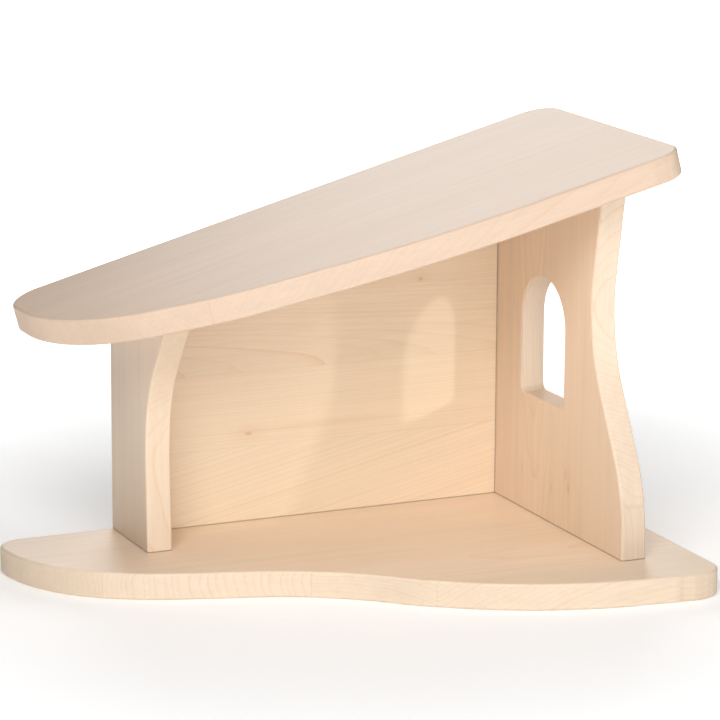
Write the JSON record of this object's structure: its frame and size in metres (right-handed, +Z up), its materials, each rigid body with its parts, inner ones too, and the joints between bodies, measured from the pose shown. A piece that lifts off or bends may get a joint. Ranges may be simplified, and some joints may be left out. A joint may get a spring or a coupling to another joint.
{
  "type": "wooden play ramp",
  "caption": "Small solid maple ramp with a round nose, carried by a low and a tall wall and a back board over a wavy base, with an arched window in the tall wall.",
  "frame": {"origin": "middle of the bounding box on the base board's underside, on the surface it stands on", "axes": "+X from the low end to the high end, +Y to the back board's side, +Z up"},
  "size_m": [0.471, 0.2865, 0.3248],
  "materials": {
    "base_maple": "pale maple, glued staves, fine sanded and waxed",
    "back_maple": "warm pale maple, glued staves, fine sanded and waxed",
    "wall_maple": "pale maple, upright glued staves, fine sanded and waxed",
    "ramp_maple": "pale maple, glued staves along the slope, fine sanded and waxed",
    "dowel_beech": "plain beech dowel"
  },
  "bodies": {
    "root": {"base_stave_1": "base_maple", "base_stave_2": "base_maple", "base_stave_3": "base_maple", "base_stave_4": "base_maple", "base_stave_5": "base_maple", "base_stave_6": "base_maple", "back_stave_1": "back_maple", "back_stave_2": "back_maple", "back_stave_3": "back_maple", "back_stave_4": "back_maple", "back_stave_5": "back_maple", "low_wall_stave_1": "wall_maple", "low_wall_stave_2": "wall_maple", "low_wall_stave_3": "wall_maple", "tall_wall_stave_1": "wall_maple", "tall_wall_stave_2": "wall_maple", "tall_wall_stave_3": "wall_maple", "tall_wall_stave_4": "wall_maple", "tall_wall_stave_5": "wall_maple", "ramp_stave_1": "ramp_maple", "ramp_stave_2": "ramp_maple", "ramp_stave_3": "ramp_maple", "ramp_stave_4": "ramp_maple", "dowels_base_to_low_wall": "dowel_beech", "dowels_base_to_tall_wall": "dowel_beech", "dowels_base_to_back": "dowel_beech", "dowels_low_wall_to_back": "dowel_beech", "dowels_tall_wall_to_back": "dowel_beech", "dowels_low_wall_to_ramp": "dowel_beech", "dowels_tall_wall_to_ramp": "dowel_beech", "dowels_back_to_ramp": "dowel_beech"}
  },
  "joints": []
}
